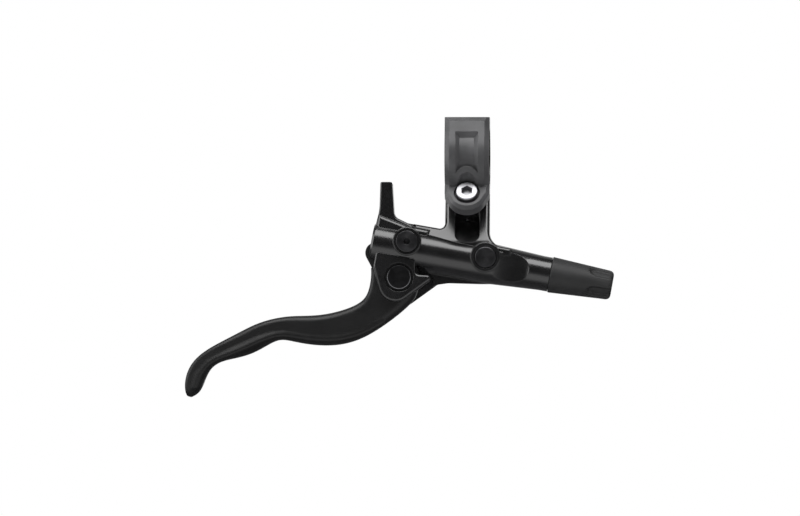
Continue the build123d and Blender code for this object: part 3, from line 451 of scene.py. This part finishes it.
def boot_outline():
    """Half outline of the boot, as distance along the axis and from it."""
    taper = (boot_radius - boot_end_radius) / boot_length
    collar = boot_radius - 2 * lip_round
    outline = [(boot_pocket, boot_mouth), (-collar_reach, boot_mouth), (-collar_reach, collar)]
    outline += [(0.0, collar), (0.0, boot_radius - lip_round)]
    for step in range(1, lip_steps + 1):
        turn = step * pi / 2 / lip_steps
        outline.append((lip_round * (1 - cos(turn)), boot_radius - lip_round * (1 - sin(turn))))
    last = boot_length - end_round
    for ring in range(1, outline_rings):
        along = lip_round + (last - lip_round) * ring / outline_rings
        outline.append((along, boot_radius - taper * along))
    edge = boot_radius - taper * last - end_round
    for step in range(end_steps + 1):
        turn = step * pi / 2 / end_steps
        outline.append((last + end_round * sin(turn), edge + end_round * cos(turn)))
    outline += [(boot_length, hose_radius + lip_round), (boot_length - lip_round, hose_radius)]
    outline += [(boot_pocket + boot_mouth / 2, hose_radius)]
    return outline


print("outline has", len(boot_outline()), "points")

# %% Spin the boot
spin_steps = 128
boot_mesh = bmesh.new()
corners = [boot_mesh.verts.new((along, 0.0, radius)) for along, radius in boot_outline()]
runs = [boot_mesh.edges.new(pair) for pair in zip(corners, corners[1:] + corners[:1])]
bmesh.ops.spin(
    boot_mesh,
    geom=corners + runs,
    cent=(0, 0, 0),
    axis=(1, 0, 0),
    angle=2 * pi,
    steps=spin_steps,
    use_merge=True,
)
bmesh.ops.remove_doubles(boot_mesh, verts=boot_mesh.verts[:], dist=0.001 * mm)
bmesh.ops.recalc_face_normals(boot_mesh, faces=boot_mesh.faces[:])
print("boot has", len(boot_mesh.faces), "faces")

# %% [markdown]
# Finger flutes.
#
# Each flute is a scoop with an oval start that runs out at the boot's end. Its depth at a point comes from
# the distance to the scoop's middle line, measured in shares of its half width, with a soft step at the rim.

# %% Press the flutes
flute_count = 4
flute_spacing = 2 * pi / flute_count
flute_reach = 10.0 * mm
flute_round = 4.0 * mm
flute_half_width = radians(27)
flute_turn = radians(6)
flute_depth = 1.2 * mm
flute_rim = 2.4  # how steeply the rim falls
inner_wall = 0.8 * boot_mouth  # points nearer to the axis belong to the hose's hole


def soft_step(share):
    share = min(max(share, 0.0), 1.0)
    return share * share * (3 - 2 * share)


for vertex in boot_mesh.verts:
    along, side, up = vertex.co
    turn = Vector((side, up)).angle_signed(Vector((0, 1)), 0.0) + flute_turn
    off_centre = abs((turn % flute_spacing) - flute_spacing / 2)
    radius = Vector((side, up)).length
    if radius < inner_wall or off_centre > flute_half_width:
        continue
    short_of = max(0.0, boot_length - flute_reach + flute_round - along) / flute_round
    press = soft_step(flute_rim * (1 - hypot(short_of, off_centre / flute_half_width))) * flute_depth
    vertex.co.yz = vertex.co.yz * (1 - press / radius)
print("pressed", flute_count, "flutes")

# %% Place the boot
boot_turn = Matrix.Translation(boot_start) @ hose_axis.to_track_quat("X", "Z").to_matrix().to_4x4()
bmesh.ops.transform(boot_mesh, matrix=boot_turn, verts=boot_mesh.verts[:])
boot_data = bpy.data.meshes.new("rubber_boot")
boot_mesh.to_mesh(boot_data)
boot_mesh.free()
boot_data.shade_smooth()
boot = bpy.data.objects.new("rubber_boot", boot_data)
bpy.context.scene.collection.objects.link(boot)
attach(boot, "housing")
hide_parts("hose_cover")
boot_rubber = moulded("boot_rubber", level=0.013, roughness=0.60, grain_size=0.35 * mm, depth=0.03 * mm)
boot.data.materials.append(boot_rubber.material)
wear(boot_rubber, "hose_cover")

# %% [markdown]
# The floor.
#
# The picture shows the lever on plain white. The floor is pale and keeps a faint shadow near the lever. It
# could be lit until it is white, but then the lever would be too bright, so the camera sees most of it as
# a white glow. A mirror ray sees a painted reflection on it: dark grey beneath, with a painted lit strip in
# front and white at the far end behind.

# %% Floor
floor_drop = 0.07
floor_half = 2.0
floor_level = cad_box[0][2] - floor_drop
floor_mesh = bmesh.new()
bmesh.ops.create_grid(floor_mesh, x_segments=1, y_segments=1, size=floor_half)
bmesh.ops.translate(floor_mesh, vec=(0, 0, floor_level), verts=floor_mesh.verts[:])
floor_data = bpy.data.meshes.new("floor")
floor_mesh.to_mesh(floor_data)
floor_mesh.free()
floor = bpy.data.objects.new("floor", floor_data)
bpy.context.scene.collection.objects.link(floor)
print("floor at", round(floor_level / mm, 1), "mm")

# %% Floor finish
white = (1.0, 1.0, 1.0, 1.0)
floor_colour = (0.75, 0.75, 0.75, 1.0)
# painted reflection: the dark grey that mirror rays see on the floor beneath the lever
painted_reflection_grey = grey(0.15)
shadow_strength = 0.3
strip_start = (0.04, 0.12)
strip_end = (0.25, 0.60)
shadow_end = (0.2, 0.7)

pale = Finish("pale_floor")
pale.shade(Base_Color=floor_colour, Roughness=0.9, Specular_IOR_Level=0.0)
seen = pale.node("LightPath", {}, {}, "Is Camera Ray")
mirrored = pale.node("LightPath", {}, {}, "Is Glossy Ray")
forward = pale.along((0, 0, 0), (0, -1, 0))
# painted reflection of a lit strip on the floor in front of the lever
painted_lit_strip = forward.smooth(*strip_start) * (1 - forward.smooth(*strip_end))
far_behind = (0 - forward).smooth(*strip_end)
off_middle = pale.vector("LENGTH", pale.place, output="Value")
shadow_share = shadow_strength * (1 - off_middle.smooth(*shadow_end))
glow_colour = pale.mix(mirrored * (1 - painted_lit_strip - far_behind), white, painted_reflection_grey)
glow = pale.node("Emission", {}, {"Color": glow_colour})
blend = pale.node("MixShader", {}, {0: seen * (1 - shadow_share) + mirrored, 2: glow})
pale.tree.links.new(pale.shader.outputs[0], blend.socket.node.inputs[1])
pale.tree.links.new(blend.socket, pale.tree.nodes["Material Output"].inputs[0])
floor.data.materials.append(pale.material)
print("floor finish has", len(pale.tree.nodes), "nodes")

# %% [markdown]
# The world.
#
# The camera sees the world as white whichever way it looks. Glossy black shows its surroundings more than
# its own colour, so mirror rays get a room of their own: a dark wall round the camera and a white backdrop
# far behind the lever, which lights the rims. All other rays get a weak even light.

# %% World
wall_level = 0.04
backdrop_edge = (0.75, 1.0)
even_light = 0.25
world = bpy.data.worlds.new("studio")
world.use_nodes = True
bpy.context.scene.world = world
studio = Graph(world.node_tree)
background = world.node_tree.nodes["Background"]
rays = studio.node("LightPath", {}, {}, "Is Camera Ray")
gloss = studio.node("LightPath", {}, {}, "Is Glossy Ray")
clear = studio.node("LightPath", {}, {}, "Is Transmission Ray")
facing = studio.node("TexCoord", {}, {}, "Generated")
away = studio.node("SeparateXYZ", {}, {0: facing}, "Y")
backdrop = wall_level + (1 - wall_level) * away.smooth(*backdrop_edge)
looked_at = rays.math("MAXIMUM", rays, clear)
level = looked_at + (1 - looked_at) * (gloss * backdrop + (1 - gloss) * even_light)
studio.feed(background, {"Color": white, "Strength": level})
print("world has", len(world.node_tree.nodes), "nodes")

# %% [markdown]
# The lamps.
#
# The round barrel works as a mirror: the place of each light and dark line on it tells how high a lamp or
# a dark wall stood. That gives a wide soft lamp above the front and a weak one behind. The rims of the ears
# and of the clamp are lighter on the left, so a second lamp stands there and a faint one on the right.

# %% Lamps
def soft_lamp(name, offset, width, depth, power):
    """A rectangular lamp at an offset from the lever's middle, turned towards it."""
    lamp = bpy.data.lights.new(name, "AREA")
    lamp.shape = "RECTANGLE"
    lamp.size = width
    lamp.size_y = depth
    lamp.energy = power
    lamp_object = bpy.data.objects.new(name, lamp)
    lamp_object.location = middle + Vector(offset)
    lamp_object.rotation_euler = (middle - lamp_object.location).to_track_quat("-Z", "Y").to_euler()
    bpy.context.scene.collection.objects.link(lamp_object)
    print(name, "at", tuple(round(c, 2) for c in lamp_object.location))


middle = (Vector(cad_box[0]) + Vector(cad_box[1])) / 2
soft_lamp("top_lamp", (0.0, -0.45, 0.89), width=1.6, depth=0.65, power=16.0)
soft_lamp("left_lamp", (-0.95, -0.10, 0.25), width=0.8, depth=0.7, power=4.3)
soft_lamp("right_lamp", (0.95, -0.10, 0.25), width=0.7, depth=0.6, power=0.5)
soft_lamp("rear_lamp", (0.0, 0.75, 0.65), width=1.2, depth=0.8, power=1.0)

# %% [markdown]
# Camera.
#
# The photograph was taken from far away, about two degrees to the right of square on. A long lens keeps the
# lever's depth from showing as perspective. The picture is 800 by 516 and shows 2.6 pixels per millimetre,
# and the centre of the bar clamp lies at a known pixel, which fixes where the camera stands.

# %% Camera
picture_width = 800
picture_height = 516
pixels_per_metre = 2600
bar_pixel = (467.5, 157.0)
camera_distance = 2.5
camera_turn = radians(2)
camera = bpy.data.cameras.new("camera")
camera.lens = camera.sensor_width * camera_distance * pixels_per_metre / picture_width
camera.clip_end = 50
camera_object = bpy.data.objects.new("camera", camera)
camera_place = Vector((
    (picture_width / 2 - bar_pixel[0]) / pixels_per_metre,
    -camera_distance,
    (bar_pixel[1] - picture_height / 2) / pixels_per_metre,
))
camera_object.location = Matrix.Rotation(camera_turn, 3, "Z") @ camera_place
camera_object.rotation_euler = (pi / 2, 0, camera_turn)
bpy.context.scene.collection.objects.link(camera_object)
bpy.context.scene.camera = camera_object
bpy.context.scene.view_settings.view_transform = "Standard"
print("lens", round(camera.lens), "mm")
